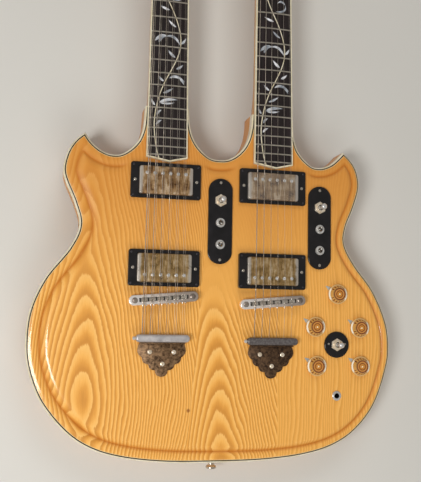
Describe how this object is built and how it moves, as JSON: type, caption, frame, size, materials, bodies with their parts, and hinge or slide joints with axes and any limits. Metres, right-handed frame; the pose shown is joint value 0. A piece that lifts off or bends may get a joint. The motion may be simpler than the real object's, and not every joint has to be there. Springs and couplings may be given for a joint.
{
  "type": "double-neck electric guitar",
  "caption": "Solid-body electric guitar with two parallel fretted necks, a carved rim, pickups, bridges, tailpieces, switches and knobs; it lies on its back, face up.",
  "frame": {"origin": "on the flat back of the body, midway between the two necks, at the line of the bridges", "axes": "+Y along the necks towards the heads, +Z out of the front, +X towards the neck with six strings"},
  "size_m": [0.4846, 1.0503, 0.0954],
  "materials": {
    "body_wood": "clear gloss lacquer over amber ash",
    "neck_wood": "clear gloss lacquer over amber maple",
    "ebony": "satin ebony with nickel frets",
    "bone": "cream bone",
    "black_plastic": "black gloss",
    "nickel": "worn nickel plating",
    "bronze": "dark engraved bronze",
    "amber_plastic": "clear amber acrylic",
    "steel": "bright steel"
  },
  "bodies": {
    "guitar": {"tailpiece_plate_12": "bronze", "bridge_12": "nickel", "tuner_plate_12_left": "nickel", "tuner_plate_12_right": "nickel", "neck_12": "neck_wood", "fingerboard_12": "ebony", "nut_12": "bone", "pickup_ring_neck_12": "black_plastic", "pickup_neck_12": "nickel", "pickup_ring_bridge_12": "black_plastic", "pickup_bridge_12": "nickel", "tailpiece_plate_6": "bronze", "bridge_6": "nickel", "tuner_plate_6_left": "nickel", "tuner_plate_6_right": "nickel", "neck_6": "neck_wood", "fingerboard_6": "ebony", "nut_6": "bone", "pickup_ring_neck_6": "black_plastic", "pickup_neck_6": "nickel", "pickup_ring_bridge_6": "black_plastic", "pickup_bridge_6": "nickel", "body": "body_wood", "switch_plate_12": "black_plastic", "string_bar_12": "steel", "switch_plate_6": "black_plastic", "string_bar_6": "steel", "neck_switch_plate": "black_plastic", "output_jack": "nickel", "rear_cover": "black_plastic"},
    "tuner_key_12_left_1": {"tuner_key_12_left_1": "nickel"},
    "tuner_key_12_left_2": {"tuner_key_12_left_2": "nickel"},
    "tuner_key_12_left_3": {"tuner_key_12_left_3": "nickel"},
    "tuner_key_12_left_4": {"tuner_key_12_left_4": "nickel"},
    "tuner_key_12_left_5": {"tuner_key_12_left_5": "nickel"},
    "tuner_key_12_left_6": {"tuner_key_12_left_6": "nickel"},
    "tuner_key_12_right_1": {"tuner_key_12_right_1": "nickel"},
    "tuner_key_12_right_2": {"tuner_key_12_right_2": "nickel"},
    "tuner_key_12_right_3": {"tuner_key_12_right_3": "nickel"},
    "tuner_key_12_right_4": {"tuner_key_12_right_4": "nickel"},
    "tuner_key_12_right_5": {"tuner_key_12_right_5": "nickel"},
    "tuner_key_12_right_6": {"tuner_key_12_right_6": "nickel"},
    "tuner_key_6_left_1": {"tuner_key_6_left_1": "nickel"},
    "tuner_key_6_left_2": {"tuner_key_6_left_2": "nickel"},
    "tuner_key_6_left_3": {"tuner_key_6_left_3": "nickel"},
    "tuner_key_6_right_1": {"tuner_key_6_right_1": "nickel"},
    "tuner_key_6_right_2": {"tuner_key_6_right_2": "nickel"},
    "tuner_key_6_right_3": {"tuner_key_6_right_3": "nickel"},
    "pickup_switch_lever_12": {"pickup_switch_lever_12": "nickel"},
    "mini_switch_lever_12_upper": {"mini_switch_lever_12_upper": "steel"},
    "mini_switch_lever_12_lower": {"mini_switch_lever_12_lower": "steel"},
    "pickup_switch_lever_6": {"pickup_switch_lever_6": "nickel"},
    "mini_switch_lever_6_upper": {"mini_switch_lever_6_upper": "steel"},
    "mini_switch_lever_6_lower": {"mini_switch_lever_6_lower": "steel"},
    "neck_switch_lever": {"neck_switch_lever": "nickel"},
    "knob_upper": {"knob_upper": "amber_plastic"},
    "knob_inner_middle": {"knob_inner_middle": "amber_plastic"},
    "knob_outer_middle": {"knob_outer_middle": "amber_plastic"},
    "knob_inner_lower": {"knob_inner_lower": "amber_plastic"},
    "knob_outer_lower": {"knob_outer_lower": "amber_plastic"}
  },
  "joints": [
    {"name": "tuner_key_12_left_1_turn", "type": "hinge", "parent": "guitar", "child": "tuner_key_12_left_1", "pos_m": [-0.09655, 0.6639, 0.00937], "axis": [1, 0, 0], "continuous": true},
    {"name": "tuner_key_12_left_2_turn", "type": "hinge", "parent": "guitar", "child": "tuner_key_12_left_2", "pos_m": [-0.09655, 0.68958, 0.00285], "axis": [1, 0, 0], "continuous": true},
    {"name": "tuner_key_12_left_3_turn", "type": "hinge", "parent": "guitar", "child": "tuner_key_12_left_3", "pos_m": [-0.09655, 0.71527, -0.00368], "axis": [1, 0, 0], "continuous": true},
    {"name": "tuner_key_12_left_4_turn", "type": "hinge", "parent": "guitar", "child": "tuner_key_12_left_4", "pos_m": [-0.09655, 0.74095, -0.0102], "axis": [1, 0, 0], "continuous": true},
    {"name": "tuner_key_12_left_5_turn", "type": "hinge", "parent": "guitar", "child": "tuner_key_12_left_5", "pos_m": [-0.09655, 0.76663, -0.01672], "axis": [1, 0, 0], "continuous": true},
    {"name": "tuner_key_12_left_6_turn", "type": "hinge", "parent": "guitar", "child": "tuner_key_12_left_6", "pos_m": [-0.09655, 0.79232, -0.02325], "axis": [1, 0, 0], "continuous": true},
    {"name": "tuner_key_12_right_1_turn", "type": "hinge", "parent": "guitar", "child": "tuner_key_12_right_1", "pos_m": [-0.04795, 0.6639, 0.00937], "axis": [1, 0, 0], "continuous": true},
    {"name": "tuner_key_12_right_2_turn", "type": "hinge", "parent": "guitar", "child": "tuner_key_12_right_2", "pos_m": [-0.04795, 0.68958, 0.00285], "axis": [1, 0, 0], "continuous": true},
    {"name": "tuner_key_12_right_3_turn", "type": "hinge", "parent": "guitar", "child": "tuner_key_12_right_3", "pos_m": [-0.04795, 0.71527, -0.00368], "axis": [1, 0, 0], "continuous": true},
    {"name": "tuner_key_12_right_4_turn", "type": "hinge", "parent": "guitar", "child": "tuner_key_12_right_4", "pos_m": [-0.04795, 0.74095, -0.0102], "axis": [1, 0, 0], "continuous": true},
    {"name": "tuner_key_12_right_5_turn", "type": "hinge", "parent": "guitar", "child": "tuner_key_12_right_5", "pos_m": [-0.04795, 0.76663, -0.01672], "axis": [1, 0, 0], "continuous": true},
    {"name": "tuner_key_12_right_6_turn", "type": "hinge", "parent": "guitar", "child": "tuner_key_12_right_6", "pos_m": [-0.04795, 0.79232, -0.02325], "axis": [1, 0, 0], "continuous": true},
    {"name": "tuner_key_6_left_1_turn", "type": "hinge", "parent": "guitar", "child": "tuner_key_6_left_1", "pos_m": [0.04795, 0.6639, 0.00937], "axis": [1, 0, 0], "continuous": true},
    {"name": "tuner_key_6_left_2_turn", "type": "hinge", "parent": "guitar", "child": "tuner_key_6_left_2", "pos_m": [0.04795, 0.7046, -0.00097], "axis": [1, 0, 0], "continuous": true},
    {"name": "tuner_key_6_left_3_turn", "type": "hinge", "parent": "guitar", "child": "tuner_key_6_left_3", "pos_m": [0.04795, 0.74531, -0.01131], "axis": [1, 0, 0], "continuous": true},
    {"name": "tuner_key_6_right_1_turn", "type": "hinge", "parent": "guitar", "child": "tuner_key_6_right_1", "pos_m": [0.09655, 0.6639, 0.00937], "axis": [1, 0, 0], "continuous": true},
    {"name": "tuner_key_6_right_2_turn", "type": "hinge", "parent": "guitar", "child": "tuner_key_6_right_2", "pos_m": [0.09655, 0.7046, -0.00097], "axis": [1, 0, 0], "continuous": true},
    {"name": "tuner_key_6_right_3_turn", "type": "hinge", "parent": "guitar", "child": "tuner_key_6_right_3", "pos_m": [0.09655, 0.74531, -0.01131], "axis": [1, 0, 0], "continuous": true},
    {"name": "pickup_switch_lever_12_turn", "type": "hinge", "parent": "guitar", "child": "pickup_switch_lever_12", "pos_m": [0.001, 0.1312, 0.0496], "axis": [1, 0, 0], "range_deg": [-12, 12]},
    {"name": "mini_switch_lever_12_upper_turn", "type": "hinge", "parent": "guitar", "child": "mini_switch_lever_12_upper", "pos_m": [0.001, 0.1018, 0.0485], "axis": [1, 0, 0], "range_deg": [-24, 0]},
    {"name": "mini_switch_lever_12_lower_turn", "type": "hinge", "parent": "guitar", "child": "mini_switch_lever_12_lower", "pos_m": [0.001, 0.0731, 0.0485], "axis": [1, 0, 0], "range_deg": [0, 24]},
    {"name": "pickup_switch_lever_6_turn", "type": "hinge", "parent": "guitar", "child": "pickup_switch_lever_6", "pos_m": [0.1393, 0.1284, 0.0496], "axis": [1, 0, 0], "range_deg": [-12, 12]},
    {"name": "mini_switch_lever_6_upper_turn", "type": "hinge", "parent": "guitar", "child": "mini_switch_lever_6_upper", "pos_m": [0.1393, 0.099, 0.0485], "axis": [1, 0, 0], "range_deg": [0, 24]},
    {"name": "mini_switch_lever_6_lower_turn", "type": "hinge", "parent": "guitar", "child": "mini_switch_lever_6_lower", "pos_m": [0.1393, 0.0703, 0.0485], "axis": [1, 0, 0], "range_deg": [0, 24]},
    {"name": "neck_switch_lever_turn", "type": "hinge", "parent": "guitar", "child": "neck_switch_lever", "pos_m": [0.16421, -0.0554, 0.0496], "axis": [0, 1, 0], "range_deg": [-12, 12]},
    {"name": "knob_upper_turn", "type": "hinge", "parent": "guitar", "child": "knob_upper", "pos_m": [0.16549, 0.01224, 0.046], "axis": [0, 0, 1], "range_deg": [-150, 150]},
    {"name": "knob_inner_middle_turn", "type": "hinge", "parent": "guitar", "child": "knob_inner_middle", "pos_m": [0.13399, -0.03201, 0.046], "axis": [0, 0, 1], "range_deg": [-150, 150]},
    {"name": "knob_outer_middle_turn", "type": "hinge", "parent": "guitar", "child": "knob_outer_middle", "pos_m": [0.19723, -0.03263, 0.046], "axis": [0, 0, 1], "range_deg": [-150, 150]},
    {"name": "knob_inner_lower_turn", "type": "hinge", "parent": "guitar", "child": "knob_inner_lower", "pos_m": [0.13581, -0.08363, 0.046], "axis": [0, 0, 1], "range_deg": [-150, 150]},
    {"name": "knob_outer_lower_turn", "type": "hinge", "parent": "guitar", "child": "knob_outer_lower", "pos_m": [0.19796, -0.08384, 0.046], "axis": [0, 0, 1], "range_deg": [-150, 150]}
  ]
}
